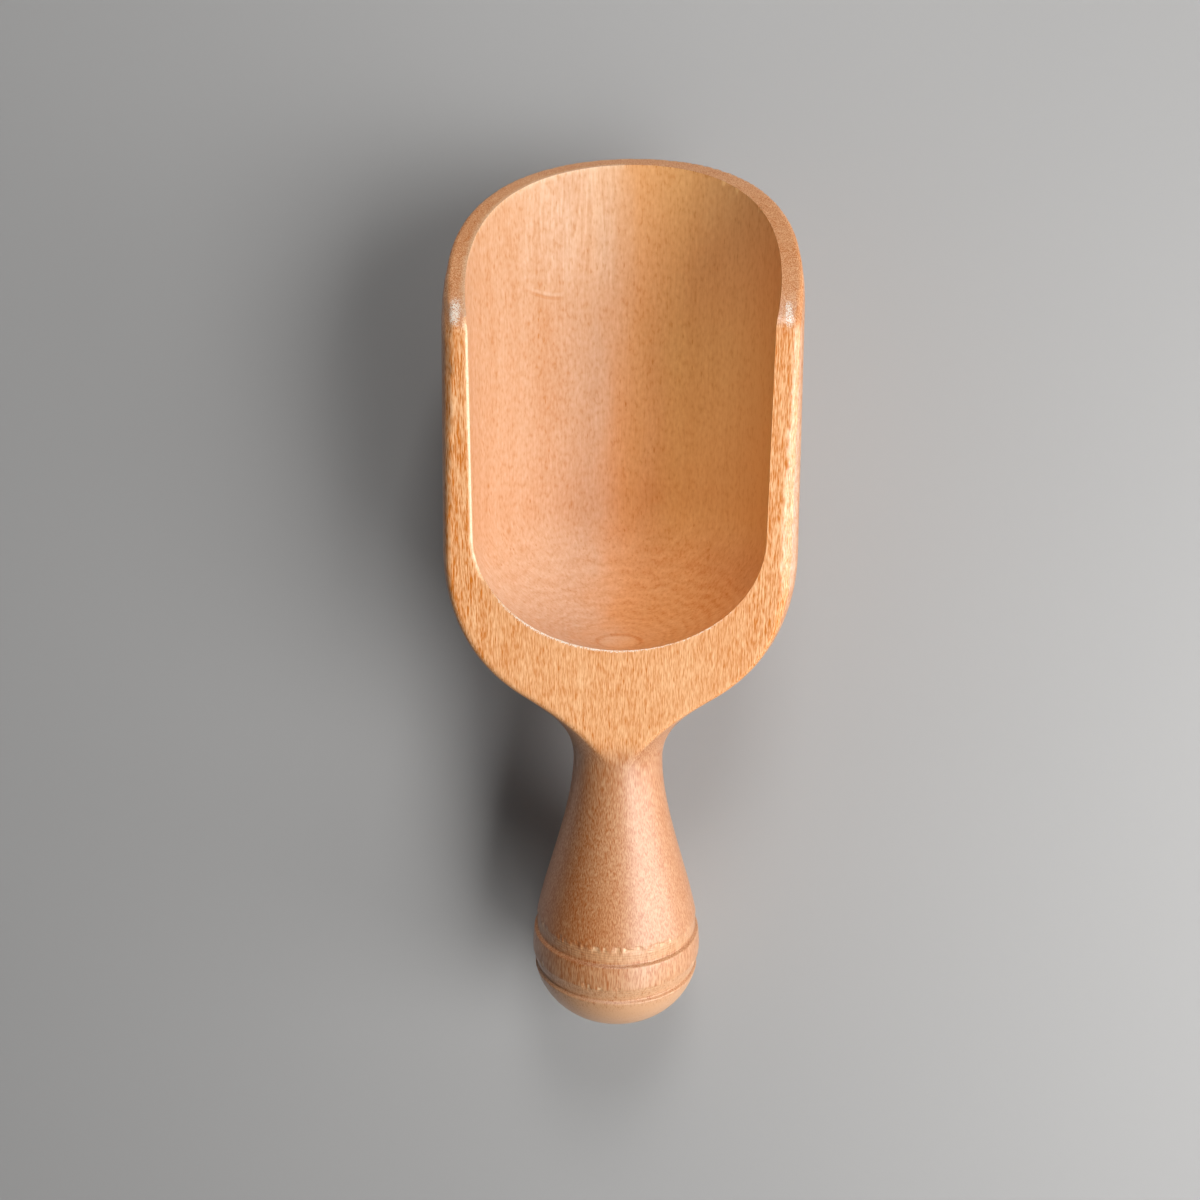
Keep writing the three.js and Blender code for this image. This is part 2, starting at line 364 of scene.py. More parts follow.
    def inner_edge(self, p):
        """Rounding of the rim's inner edge, wider along the left wall."""
        s = self.sizes
        left = 1 - ramp(p[:, 0], *self.LEFT_WALL)
        start = s.heel_wood + self.LEFT_EDGE_START
        fade, gone = (self.corner + past for past in self.LEFT_EDGE_END)
        straight = window(p[:, 1], start, self.bore_start, fade, gone)
        return s.inner_edge + (s.left_edge - s.inner_edge) * left * straight

    def body(self, p):
        """Distance outside the finished bowl."""
        free = self.free_edge(p)
        turned = rounded(self.wall(p), self.bevel_face(p), self.BEVEL_ROUND * free)
        sawn = rounded(turned, self.saw(p), self.RIM_ROUND * free)
        return rounded(sawn, self.bore(p), self.inner_edge(p))

    def slope(self, distance, p):
        """How fast a signed distance grows along each axis."""
        step = 2e-5
        grown = np.zeros_like(p)
        for axis in range(3):
            nudge = np.zeros(3)
            nudge[axis] = step
            grown[:, axis] = (distance(p + nudge) - distance(p - nudge)) / (2 * step)
        return grown

    def settle(self, p, passes):
        """Moves points that lie near the surface onto it."""
        longest = 0.0003
        least_slope = 0.3
        for _ in range(passes):
            slope = self.slope(self.body, p)
            size = np.maximum((slope * slope).sum(1), least_slope)
            move = np.clip(self.body(p) / size, -longest, longest)
            p = p - slope * move[:, None]
        return p

    def sharpen(self, p, other, reach):
        """Moves points close to the edge between the saw cut and another surface onto that edge."""
        passes = 2
        least_spread = 0.1
        for _ in range(passes):
            one = self.slope(self.saw, p)
            two = self.slope(other, p)
            aa = (one * one).sum(1)
            ab = (one * two).sum(1)
            bb = (two * two).sum(1)
            spread = aa * bb - ab * ab
            safe = np.maximum(spread, least_spread / 2)
            first = (bb * self.saw(p) - ab * other(p)) / safe
            second = (aa * other(p) - ab * self.saw(p)) / safe
            move = one * first[:, None] + two * second[:, None]
            near = (np.linalg.norm(move, axis=1) < reach) & (spread > least_spread)
            p = p - move * near[:, None]
        return p


class HandleForm:
    """The handle's turned outline, from the domed end to the neck joint."""

    # Points on the curves of the dome and of the grip
    DOME_POINTS = 400
    GRIP_POINTS = 900
    # Distance between the mesh's rings, and between those near a groove
    RING_STEP = 0.00042
    GROOVE_RING_STEP = 0.00014
    # How far the close rings reach past a groove's foot and past its brow
    PAST_FOOT = 0.0012
    PAST_BROW = 0.0016
    # Softening of a groove's steep side
    STEP_SOFTNESS = 0.0001

    def __init__(self, s):
        self.sizes = s
        end = np.array((0.0, -s.reach))
        knob = np.array((s.knob_diameter / 2, s.knob_from_end - s.reach))
        neck = np.array((s.neck_diameter / 2, 0.0))
        crown = end + (s.dome_crown, 0.0)
        dome = curve(end, crown, knob - (0.0, s.dome_shoulder), knob, self.DOME_POINTS)
        swell = knob + (0.0, s.knob_swell)
        grip = curve(knob, swell, neck - (0.0, s.neck_swell), neck, self.GRIP_POINTS)
        self.envelope = np.vstack((dome, grip[1:]))
        self.feet = (s.first_groove - s.reach, s.second_groove - s.reach)

    def depth(self, along):
        """Depth of the grooves: steep on the side of the domed end, sloping towards the neck."""
        s = self.sizes
        soft = self.STEP_SOFTNESS
        cut = np.zeros_like(along)
        for foot in self.feet:
            steep = ramp(along, foot - s.groove_step - soft, foot + soft)
            slope = np.clip((foot + s.groove_width - along) / s.groove_width, 0.0, 1.0)
            cut = np.maximum(cut, s.groove_depth * np.minimum(steep, slope))
        return cut

    def outline(self):
        """Radius and place along the axis, with points packed closely in the grooves."""
        s = self.sizes
        line = self.envelope.copy()
        line[:, 0] = line[:, 0] - self.depth(line[:, 1])
        walked = np.concatenate(([0.0], np.cumsum(np.linalg.norm(np.diff(line, axis=0), axis=1))))
        near = np.full(len(line), self.RING_STEP)
        for foot in self.feet:
            past_brow = foot + s.groove_width + self.PAST_BROW
            inside = (line[:, 1] > foot - self.PAST_FOOT) & (line[:, 1] < past_brow)
            near[inside] = self.GROOVE_RING_STEP
        count = np.concatenate(([0.0], np.cumsum(np.diff(walked) / near[1:])))
        ticks = np.linspace(0.0, count[-1], int(round(count[-1])) + 1)
        place = np.interp(ticks, count, walked)
        return np.column_stack((np.interp(place, walked, line[:, 0]), np.interp(place, walked, line[:, 1])))


def draw_outline(name, points):
    """A new mesh that is one chain of edges through the points, drawn by extruding a vertex."""
    bpy.ops.object.select_all(action="DESELECT")
    bpy.ops.mesh.primitive_plane_add(size=0.001, location=(0.0, 0.0, 0.0))
    bpy.context.object.name = name
    bpy.ops.object.mode_set(mode="EDIT")
    bpy.ops.mesh.select_all(action="SELECT")
    bpy.ops.mesh.merge(type="CENTER")
    bpy.ops.transform.translate(value=points[0])
    for here, there in zip(points[:-1], points[1:]):
        step = tuple(b - a for a, b in zip(here, there))
        bpy.ops.mesh.extrude_region_move(TRANSFORM_OT_translate={"value": step})
    return bpy.context.object


def turn_on_lathe(name, line, sides):
    """A solid turned about the y axis from an outline of radius and place along the axis."""
    piece = draw_outline(name, [(float(r), float(y), 0.0) for r, y in line])
    bpy.ops.mesh.select_all(action="SELECT")
    bpy.ops.mesh.spin(steps=sides, angle=2 * math.pi, center=(0.0, 0.0, 0.0), axis=(0.0, 1.0, 0.0))
    bpy.ops.mesh.select_all(action="SELECT")
    bpy.ops.mesh.remove_doubles(threshold=TINY)
    bpy.ops.mesh.normals_make_consistent(inside=False)
    bpy.ops.object.mode_set(mode="OBJECT")
    return piece


def cut_away(piece, tool):
    """Takes a tool's solid out of a piece, and the tool out of the scene."""
    bpy.ops.object.select_all(action="DESELECT")
    bpy.context.view_layer.objects.active = piece
    piece.select_set(True)
    bpy.ops.object.modifier_add(type="BOOLEAN")
    cut = piece.modifiers[-1]
    cut.operation = "DIFFERENCE"
    cut.solver = "MANIFOLD"
    cut.object = tool
    bpy.ops.object.modifier_apply(modifier=cut.name)
    bpy.data.objects.remove(tool)


def points_of(piece):
    """A mesh's points as rows of numbers."""
    flat = np.empty(len(piece.data.vertices) * 3, np.float32)
    piece.data.vertices.foreach_get("co", flat)
    return flat.reshape(-1, 3).astype(float)


def move_points(piece, points):
    """Puts a mesh's points where the rows of numbers say."""
    piece.data.vertices.foreach_set("co", points.astype(np.float32).ravel())
    piece.data.update()


def note(piece, name, values):
    """Keeps a value for each point of a mesh, for its material to read."""
    layer = piece.data.attributes.new(name=name, type="FLOAT", domain="POINT")
    layer.data.foreach_set("value", values.astype(np.float32))


def lay_down(piece):
    """Turns a piece from the lathe's frame into the part's frame, with its place in its mesh."""
    bpy.ops.object.select_all(action="DESELECT")
    bpy.context.view_layer.objects.active = piece
    piece.select_set(True)
    piece.rotation_euler = (TILT, 0.0, 0.0)
    piece.location = NECK_JOINT
    bpy.ops.object.transform_apply(location=True, rotation=True, scale=True)


def finish_piece(piece, material, node):
    """Gives a piece its wood and its place in the part."""
    piece.data.materials.clear()
    piece.data.materials.append(material)
    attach(piece, "root")
    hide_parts(node)


class Field:
    """A value or colour that changes over a surface, with the arithmetic that finishes use."""

    def __init__(self, finish, socket):
        self.finish = finish
        self.socket = socket

    def combine(self, operation, first, second):
        """A new value worked out from two."""
        return self.finish.add("ShaderNodeMath", {"operation": operation}, {0: first, 1: second})

    def __add__(self, other):
        return self.combine("ADD", self, other)

    def __radd__(self, other):
        return self.combine("ADD", other, self)

    def __sub__(self, other):
        return self.combine("SUBTRACT", self, other)

    def __rsub__(self, other):
        return self.combine("SUBTRACT", other, self)

    def __mul__(self, other):
        return self.combine("MULTIPLY", self, other)

    def __rmul__(self, other):
        return self.combine("MULTIPLY", other, self)

    def __truediv__(self, other):
        return self.combine("DIVIDE", self, other)

    def __pow__(self, other):
        return self.combine("POWER", self, other)


class Finish:
    """A material under construction."""

    def __init__(self, name):
        self.material = bpy.data.materials.new(name)
        self.material.use_nodes = True
        self.tree = self.material.node_tree
        self.tree.nodes.clear()

    def add(self, kind, settings=None, values=None, output=0):
        """A node of some kind, with its settings and then its socket values or links."""
        node = self.tree.nodes.new(kind)
        for key, value in (settings or {}).items():
            setattr(node, key, value)
        for key, value in (values or {}).items():
            if isinstance(value, Field):
                self.tree.links.new(value.socket, node.inputs[key])
            else:
                node.inputs[key].default_value = value
        return Field(self, node.outputs[output])

    def stretched(self, place, scale):
        """Coordinates scaled by a different amount each way."""
        return self.add("ShaderNodeVectorMath", {"operation": "MULTIPLY"}, {0: place, 1: scale})

    def noise(self, place, scale, detail, swirl=0.0):
        """Soft noise between 0 and 1 on stretched coordinates."""
        where = self.stretched(place, scale)
        values = {"Vector": where, "Scale": 1.0, "Detail": detail, "Distortion": swirl}
        return self.add("ShaderNodeTexNoise", None, values)

    def step(self, value, low, high):
        """Soft step from 0 at low to 1 at high."""
        settings = {"interpolation_type": "SMOOTHSTEP"}
        return self.add("ShaderNodeMapRange", settings, {"Value": value, "From Min": low, "From Max": high})

    def blend(self, share, first, second):
        """A colour between two colours."""
        settings = {"data_type": "RGBA"}
        return self.add("ShaderNodeMix", settings, {0: share, 6: first, 7: second}, 2)

    def tinted(self, share, first, tint):
        """A colour multiplied by a tint, as far as a share says."""
        settings = {"data_type": "RGBA", "blend_type": "MULTIPLY"}
        return self.add("ShaderNodeMix", settings, {0: share, 6: first, 7: tint}, 2)

    def noted(self, name):
        """A value kept with the mesh's points."""
        return self.add("ShaderNodeAttribute", {"attribute_name": name}, None, "Fac")

    def part(self, vector, axis):
        """One of a vector's three numbers."""
        return self.add("ShaderNodeSeparateXYZ", None, {0: vector}, axis)

    def single(self, operation, value):
        """A sum on one value."""
        return self.add("ShaderNodeMath", {"operation": operation}, {0: value})

    def within(self, value, middle, near, far):
        """1 as far as near from a middle value, falling softly to 0 at far."""
        return 1 - self.step(self.single("ABSOLUTE", value - middle), near, far)

    def close(self, shader):
        """Joins the shader to the material's output."""
        end = self.tree.nodes.new("ShaderNodeOutputMaterial")
        self.tree.links.new(shader.socket, end.inputs["Surface"])


# Where the looks of the wood change, painted light and shade among them: START, LEFT and SIDES run up to
# full, END and RIGHT down to nothing
# In millimetres along the axis from the neck joint towards the lip:
DOME_END = (-42.0, -38.0)
MELLOW_START = (-36.0, -31.0)
MELLOW_END = (-28.0, -12.0)
PAINTED_GRIP_SHADE_END = (-4.0, 4.0)
RIM_START = (0.5, 6.0)
PALE_BAND_START = (7.0, 10.0)
PALE_BAND_END = (18.0, 20.5)
POLE_END = (22.0, 24.0)
CIRCLES_END = (26.0, 38.0)
ROUND_END = (28.0, 40.0)
FRONT_START = (64.0, 84.0)
SWEEP_START = (71.8, 74.8)
FIGURE_START = (72.0, 84.0)
# In millimetres across the scoop to the right:
FIGURE_LEFT = (-20.0, -13.0)
FIGURE_RIGHT = (-5.0, 3.0)
PAINTED_END_SHADE_LEFT = (-12.0, 18.0)
PAINTED_SHEEN_RIGHT = (-9.0, 3.0)
PAINTED_GRIP_SHADE_RIGHT = (-8.0, 0.0)
MELLOW_RIGHT = (-3.0, 5.0)
PAINTED_FILL_TINT_LEFT = (-3.0, 11.0)
PAINTED_FILL_TONE_LEFT = (4.0, 22.0)
RIM_SIDES = (19.0, 24.0)

# Middles across the scoop of the paler wood in the bore and of the pale band on the heel
BORE_MIDDLE = 3.0
PALE_BAND_MIDDLE = -6.3
# Across and along of the small curl, and the radius of the ring at the bore's pole
CURL_PLACE = (-13.4, 76.75)
RING_RADIUS = 3.7
# Tints of the painted fill light towards the lip and of the mellow wood on the grip's left
PAINTED_FILL_FRONT_TINT = (1.0, 0.90, 0.93)
MELLOW_TINT = (1.0, 0.93, 0.82)


def spindles(finish, grain, scale, share, size):
    """Short dark pores that run along the grain."""
    where = finish.stretched(grain, scale)
    values = {"Vector": where, "Scale": 1.0, "Randomness": 1.0}
    near = finish.add("ShaderNodeTexVoronoi", {"feature": "F1"}, values, "Distance")
    cell = finish.add("ShaderNodeTexVoronoi", {"feature": "F1"}, values, "Color")
    lot = finish.add("ShaderNodeSeparateColor", None, {"Color": cell}, 0)
    return (1 - finish.step(near, size * 0.35, size)) * finish.step(lot, 1 - share, 1 - share + 0.25)


def lathe_place(finish):
    """Place on the scoop in millimetres: across, along the turning axis from the neck joint, and up."""
    here = finish.add("ShaderNodeTexCoord", None, None, "Object")
    joint_along = NECK_JOINT[1] * math.cos(TILT) + NECK_JOINT[2] * math.sin(TILT)
    joint_up = NECK_JOINT[2] * math.cos(TILT) - NECK_JOINT[1] * math.sin(TILT)
    values = {
        "Vector": here,
        "Location": (0.0, -MM * joint_along, -MM * joint_up),
        "Rotation": (-TILT, 0.0, 0.0),
        "Scale": (MM, MM, MM),
    }
    return finish.add("ShaderNodeMapping", {"vector_type": "POINT"}, values)


def year_rings(finish, grain, look):
    """Late wood of the year rings round a pith that lies above the scoop."""
    wander = finish.noise(grain, (0.05, 0.012, 0.05), 2.0)
    side = finish.part(grain, 0) - MM * look.pith_side
    above = finish.part(grain, 2) - MM * look.pith_above
    from_pith = (side ** 2 + above ** 2) ** 0.5 + wander * 9.0
    year = finish.single("FRACT", from_pith / (MM * look.ring))
    return finish.step(year, 0.2, 0.9) * (1 - finish.step(year, 0.9, 1.0))


def grain_patterns(finish, grain, look):
    """Patterns in the wood itself, each in cells per millimetre across, along and up."""
    wood = SimpleNamespace()
    wood.late = year_rings(finish, grain, look)
    wood.broad = finish.noise(grain, (0.12, 0.03, 0.12), 2.0) - 0.5
    wood.dash = finish.noise(grain, (6.4, 0.72, 6.4), 2.0) - 0.5
    wood.streak = finish.noise(grain, (4.8, 0.14, 4.8), 3.0) - 0.5
    wood.mottle = finish.noise(grain, (1.9, 0.9, 1.9), 1.0) - 0.5
    wood.figure = finish.noise(grain, (0.9, 0.09, 0.9), 3.0, 1.0) - 0.5
    wood.fuzz = finish.noise(grain, (2.8, 2.0, 2.8), 2.0)
    wood.grit = finish.noise(grain, (7.0, 5.0, 7.0), 1.0)
    wood.pits = finish.step(wood.mottle, 0.08, 0.24)
    wood.pores = spindles(finish, grain, (3.2, 0.7, 3.2), 0.5, 0.42)
    wood.marks = spindles(finish, grain, (1.1, 0.16, 1.1), 0.06, 0.22)
    wood.flecks = spindles(finish, grain, (1.9, 0.45, 1.9), 0.22, 0.3)
    return wood


def wood_surfaces(finish, grain, broad):
    """How far a place is sawn, swept, bored or turned, and how far each change of looks holds there,
    painted light and shade among them.
    """
    across = finish.part(grain, 0)
    along = finish.part(grain, 1)
    drifting = across + broad * 8.0
    on = SimpleNamespace()
    for name in ("torn", "burred", "worn", "bleached", "foot_darkening", "lined", "streaky"):
        setattr(on, name, finish.noted(name))
    cut = finish.step(finish.noted("cut"), 0.4, 1.0) * finish.step(along, *RIM_START)
    on.swept = cut * finish.step(along, *SWEEP_START)
    on.sawn = cut * (1 - 0.5 * on.swept)
    on.bored = finish.step(finish.noted("hollow"), 0.92, 1.05)
    on.turned = 1 - finish.add("ShaderNodeMath", {"operation": "MAXIMUM"}, {0: on.sawn, 1: on.bored})

    on.rim_sides = on.sawn * finish.step(finish.single("ABSOLUTE", across), *RIM_SIDES)
    on.pale_band = on.sawn * finish.within(across, PALE_BAND_MIDDLE, 0.15, 0.5)
    on.pale_band = on.pale_band * finish.step(along, *PALE_BAND_START)
    on.pale_band = on.pale_band * (1 - finish.step(along, *PALE_BAND_END))

    on.ended = on.bored * (1 - finish.step(along, *ROUND_END))
    # Painted shade on the right of the bore's round end
    on.end_shaded = on.ended * finish.step(drifting, *PAINTED_END_SHADE_LEFT)
    # Painted fill light on the bowl's right inner wall, which lies in shade: paler and yellower, with its
    # own tint towards the lip
    on.lit = on.bored * finish.step(drifting, *PAINTED_FILL_TONE_LEFT) * (1 - 0.6 * on.ended)
    on.golden = on.bored * finish.step(drifting, *PAINTED_FILL_TINT_LEFT) * (1 - 0.5 * on.ended)
    on.golden_front = on.golden * finish.step(along, *FRONT_START)
    # Painted sheen on the bowl's left inner wall, which faces the lamps
    on.painted_sheen = on.bored * (1 - finish.step(across + broad * 12.0, *PAINTED_SHEEN_RIGHT))
    on.middle = on.bored * finish.within(across, BORE_MIDDLE, 5.0, 13.0)
    on.figured = on.bored * finish.step(along, *FIGURE_START) * finish.step(across, *FIGURE_LEFT)
    on.figured = on.figured * (1 - finish.step(across, *FIGURE_RIGHT))

    # Painted light on the domed end of the handle
    on.domed = 1 - finish.step(along, *DOME_END)
    # Painted shade down the left of the handle
    on.shaded = on.turned * (1 - finish.step(across, *PAINTED_GRIP_SHADE_RIGHT)) * (1 - finish.step(along, *PAINTED_GRIP_SHADE_END))
    on.mellow = on.turned * finish.step(along, *MELLOW_START) * (1 - finish.step(along, *MELLOW_END))
    on.mellow = on.mellow * (1 - finish.step(drifting, *MELLOW_RIGHT))
    return on


def tool_marks(finish, grain, on):
    """Circles, ring and eye that the borer left, a small curl of lifted grain with a painted shadow under
    it, and lines in the grooves.
    """
    across = finish.part(grain, 0)
    along = finish.part(grain, 1)
    height = finish.part(grain, 2)
    tool = SimpleNamespace()
    off_axis = (across ** 2 + height ** 2) ** 0.5
    wobble = finish.noise(grain, (0.25, 0.25, 0.25), 2.0)
    waves = finish.single("SINE", off_axis * 3.4 + wobble * 14.0) * finish.step(off_axis, 4.0, 8.0)
    tool.circles = waves * on.bored * (1 - finish.step(along, *CIRCLES_END))
    pole = on.bored * (1 - finish.step(along, *POLE_END))
    tool.ring = pole * finish.within(off_axis, RING_RADIUS, 0.1, 0.5)
    tool.eye = pole * (1 - finish.step(off_axis, 2.4, 3.6))

    beside = across - CURL_PLACE[0]
    off_curl = along - CURL_PLACE[1] + beside * 0.2 - beside ** 2 * 0.05
    near_curl = on.bored * finish.within(beside, 0.0, 1.5, 3.6)
    tool.lifted = near_curl * finish.within(off_curl, 0.0, 0.1, 0.5)
    # Painted shadow under the curl
    tool.under = near_curl * finish.within(off_curl, -0.6, 0.1, 0.5)
    tool.lines = finish.single("SINE", along * 13.0) * on.lined
    return tool


def wood_tone(finish, on, wood, tool):
    """Share of deep colour: what each surface has, with painted light and shade on parts of it, then its
    grain, then the tools' marks.
    """
    tone = 0.38 + 0.06 * on.turned + 0.07 * on.bored + 0.11 * on.swept + 0.04 * on.sawn
    tone = tone + 0.1 * on.rim_sides - 0.2 * on.pale_band - 0.12 * on.streaky - 0.16 * on.lined
    # Painted light and shade in the bowl: paler on its right inner wall, darker on the right of the round
    # end, paler over the whole round end
    tone = tone - 0.42 * on.lit + 0.4 * on.end_shaded - 0.2 * on.ended - 0.1 * on.middle - 0.12 * on.figured
    # Painted light on the domed end of the handle, and painted shade down its left
    tone = tone - 0.62 * on.domed + 0.2 * on.shaded

    tone = tone + wood.late * 0.06 + wood.broad * 0.25
    tone = tone + wood.dash * (0.25 + 1.75 * on.sawn + 0.8 * on.rim_sides + 2.5 * on.turned)
    tone = tone + wood.streak * (0.3 + 0.3 * on.sawn + 1.3 * on.rim_sides + 1.7 * on.streaky)
    tone = tone + wood.pores * (0.02 + 0.26 * on.sawn + 0.3 * on.turned)
    tone = tone + wood.marks * (0.08 + 0.14 * on.bored) + wood.figure * on.figured
    tone = tone + on.bored * (wood.mottle * 0.5 + wood.pits * 0.08 + wood.flecks * 0.36)
    tone = tone - 0.3 * on.swept * finish.step(wood.grit, 0.5, 0.7)

    tone = tone + tool.circles * 0.07 + tool.ring * 0.28 - tool.eye * wood.grit * 0.35
    # The curl is paler, with a painted shadow under it
    return tone - tool.lifted * 0.15 + tool.under * 0.2 + tool.lines * 0.06


def wood_colour(finish, on, wood, tone, look):
    """Colour of the wood: its tone, the tints of its surfaces with painted sheen and fill light among them,
    then what covers it in places, painted highlights and glints among it.
    """

    def over_pale(wanted):
        return tuple(w / p for w, p in zip(wanted, look.pale))

    base = finish.blend(tone, (*look.pale, 1.0), (*look.deep, 1.0))
    # Tints with painted sheen on the bowl's left inner wall and painted fill light on its right inner wall
    tints = (
        (on.painted_sheen, over_pale(look.painted_sheen)),
        (on.golden, over_pale(look.gold)),
        (on.golden_front, PAINTED_FILL_FRONT_TINT),
        (on.turned, over_pale(look.oiled)),
        (on.mellow, MELLOW_TINT),
    )
    for share, tint in tints:
        base = finish.tinted(share, base, (*tint, 1.0))
    # Covers with painted highlights on the rim's edges and painted glints on its crests
    covers = (
        (finish.step(on.torn * (0.5 + wood.fuzz), 0.25, 0.95), look.raw),
        (on.bleached * (0.3 + 1.1 * wood.grit), look.edge_glint),
        (finish.step(on.burred * (1.6 * wood.grit - 0.15), 0.38, 0.62), look.burr),
        (on.foot_darkening * 0.15, look.foot_darkening),
    )
    for share, cover in covers:
        base = finish.blend(share, base, (*cover, 1.0))
    return base


def wood_relief(finish, on, wood, tool):
    """Fine relief of grain, torn fibres and tools' marks."""
    relief = wood.dash * (0.15 + 0.35 * on.turned) + wood.streak * (0.2 + 0.8 * on.streaky)
    relief = relief + on.bored * (wood.mottle * 0.8 - wood.pits * 0.5) + wood.fuzz * on.torn
    relief = relief + tool.circles * 0.25 - tool.ring * 0.8 + tool.lifted - tool.under + tool.lines * 0.5
    values = {"Strength": 0.6, "Distance": 0.00006, "Height": relief}
    return finish.add("ShaderNodeBump", None, values, "Normal")


def wood_finish(look):
    """Fine-grained fruit wood under a thin satin finish, made once for both pieces."""
    known = bpy.data.materials.get("wood_satin")
    if known:
        return known
    finish = Finish("wood_satin")
    grain = lathe_place(finish)
    wood = grain_patterns(finish, grain, look)
    on = wood_surfaces(finish, grain, wood.broad)
    tool = tool_marks(finish, grain, on)
    tone = wood_tone(finish, on, wood, tool)
    values = {
        "Base Color": wood_colour(finish, on, wood, tone, look),
        "Roughness": look.gloss + 0.08 * on.sawn + 0.12 * on.bored + wood.dash * 0.2 + on.torn * 0.2,
        "Specular IOR Level": 0.2,
        "Normal": wood_relief(finish, on, wood, tool),
        "Coat Weight": on.turned + 0.05 * on.sawn + on.worn * finish.step(wood.fuzz, 0.3, 0.6),
        "Coat Roughness": 0.44,
        "Coat IOR": 1.75,
    }
    shader = finish.add("ShaderNodeBsdfPrincipled", None, values)
    finish.close(shader)
    return finish.material


class SCOOP_OT_bowl(bpy.types.Operator):
    """Turn, bore, saw and sand the bowl"""

    bl_idname = "scoop.bowl"
    bl_label = "Bowl"

    def execute(self, context):
        s = context.scene.scoop_bowl
        form = BowlForm(s)
        blank = turn_on_lathe("bowl_wood", self.blank_line(form, s), ROUGH_SIDES)
        cut_away(blank, turn_on_lathe("borer", self.borer_line(s), ROUGH_SIDES))
        cut_away(blank, self.saw_block(form, s))
        self.sand(blank, form, s)
        self.drill_socket(blank, s)
        self.note_surfaces(blank, form)
        self.note_edges(blank, form, s)
        self.raise_burr(blank, form, s)
        lay_down(blank)
        bpy.ops.object.shade_smooth_by_angle(angle=SHARP_ANGLE)
        finish_piece(blank, wood_finish(context.scene.scoop_wood), "bowl")
        return {"FINISHED"}

    def blank_line(self, form, s):
        """The turned outside, with a stub behind the neck and closed ends."""
        stub = 0.003
        line = form.wall_line[::3]
        neck = s.neck_diameter / 2
        lip = s.lip_diameter / 2
        return np.vstack(((0.0, -stub), (neck, -stub), line, (lip, s.lip_reach), (0.0, s.lip_reach)))

    def borer_line(self, s):
        """The bored hollow, run out past the lip."""
        past_lip = 0.005
        cap_points = 40
        t = np.linspace(0.0, math.pi / 2, cap_points)
        half = s.bore_diameter / 2
        cap = np.column_stack((half * np.sin(t), s.heel_wood + s.bore_round * (1 - np.cos(t))))
        mouth = s.mouth_diameter / 2
        out = s.lip_reach + past_lip
        return np.vstack((cap, (mouth, out), (0.0, out)))

    def saw_block(self, form, s):
        """What the saw takes off: the side cut drawn out across the bowl."""
        back = -0.005
        front = s.lip_reach + 0.02
        wide = s.wall_diameter
        line = form.saw_line[1::2]
        corners = [(back, s.rim_height)] + [tuple(p) for p in line]
        corners += [(front, corners[-1][1]), (front, wide), (back, wide)]
        block = draw_outline("saw_block", [(-wide, float(y), float(z)) for y, z in corners])
        bpy.ops.mesh.select_all(action="SELECT")
        bpy.ops.mesh.edge_face_add()
        bpy.ops.mesh.extrude_region_move(TRANSFORM_OT_translate={"value": (2 * wide, 0.0, 0.0)})
        bpy.ops.mesh.select_all(action="SELECT")
        bpy.ops.mesh.normals_make_consistent(inside=False)
        bpy.ops.transform.rotate(
            value=-s.sweep_skew, orient_axis="Z", center_override=(0.0, s.lip_reach, 0.0)
        )
        bpy.ops.object.mode_set(mode="OBJECT")
        return block

    def sand(self, blank, form, s):
        """Even mesh all over, each edge sanded to its own rounding, then the crisp edges drawn sharp."""
        smoothing = (6, 3, 2)
        settling = 3
        stub_start = -0.0016
        wide_bevel = 0.0006
        crisp_reach = s.grain * 1.12
        bevel_reach = s.grain * 0.6
        merged = s.grain * 0.35
        bpy.ops.object.modifier_add(type="REMESH")
        remesh = blank.modifiers[-1]
        remesh.mode = "VOXEL"
        remesh.voxel_size = s.grain
        bpy.ops.object.modifier_apply(modifier=remesh.name)
        for repeat in smoothing:
            bpy.ops.object.mode_set(mode="EDIT")
            bpy.ops.mesh.select_all(action="SELECT")
            bpy.ops.mesh.vertices_smooth(factor=0.5, repeat=repeat)
            bpy.ops.object.mode_set(mode="OBJECT")
            points = points_of(blank)
            kept = points[:, 1] > stub_start
            points[kept] = form.settle(points[kept], settling)
            move_points(blank, points)
        crisp = kept & (form.inner_edge(points) < (s.inner_edge + s.left_edge) / 2)
        points[crisp] = form.sharpen(points[crisp], form.bore, crisp_reach)
        wide = kept & (form.bevel(points) > wide_bevel)
        points[wide] = form.sharpen(points[wide], form.bevel_face, bevel_reach)
        move_points(blank, points)
        bpy.ops.object.mode_set(mode="EDIT")
        bpy.ops.mesh.select_all(action="SELECT")
        bpy.ops.mesh.remove_doubles(threshold=merged)
        bpy.ops.object.mode_set(mode="OBJECT")

    def drill_socket(self, blank, s):
        """Cuts the stub off at the neck joint and sinks the blind socket into the end."""
        bpy.ops.object.mode_set(mode="EDIT")
        bpy.ops.mesh.select_all(action="SELECT")
        bpy.ops.mesh.bisect(
            plane_co=(0.0, 0.0, 0.0), plane_no=(0.0, 1.0, 0.0), use_fill=True, clear_inner=True
        )
        bpy.ops.mesh.inset(thickness=(s.neck_diameter - s.socket_diameter) / 2)
        bpy.ops.mesh.extrude_region_move(TRANSFORM_OT_translate={"value": (0.0, s.socket_depth, 0.0)})
        bpy.ops.object.mode_set(mode="OBJECT")

    def note_surfaces(self, blank, form):
        """Notes how far each point lies on the saw cut and in the hollow, in millimetres over 1."""
        p = points_of(blank)
        wall = form.wall(p)
        saw = form.saw(p)
        bore = form.bore(p)
        note(blank, "cut", 1 + np.clip(MM * (saw - np.maximum(wall, bore)), -1.0, 1.0))
        note(blank, "hollow", 1 + np.clip(MM * (bore - np.maximum(wall, saw)), -1.0, 1.0))

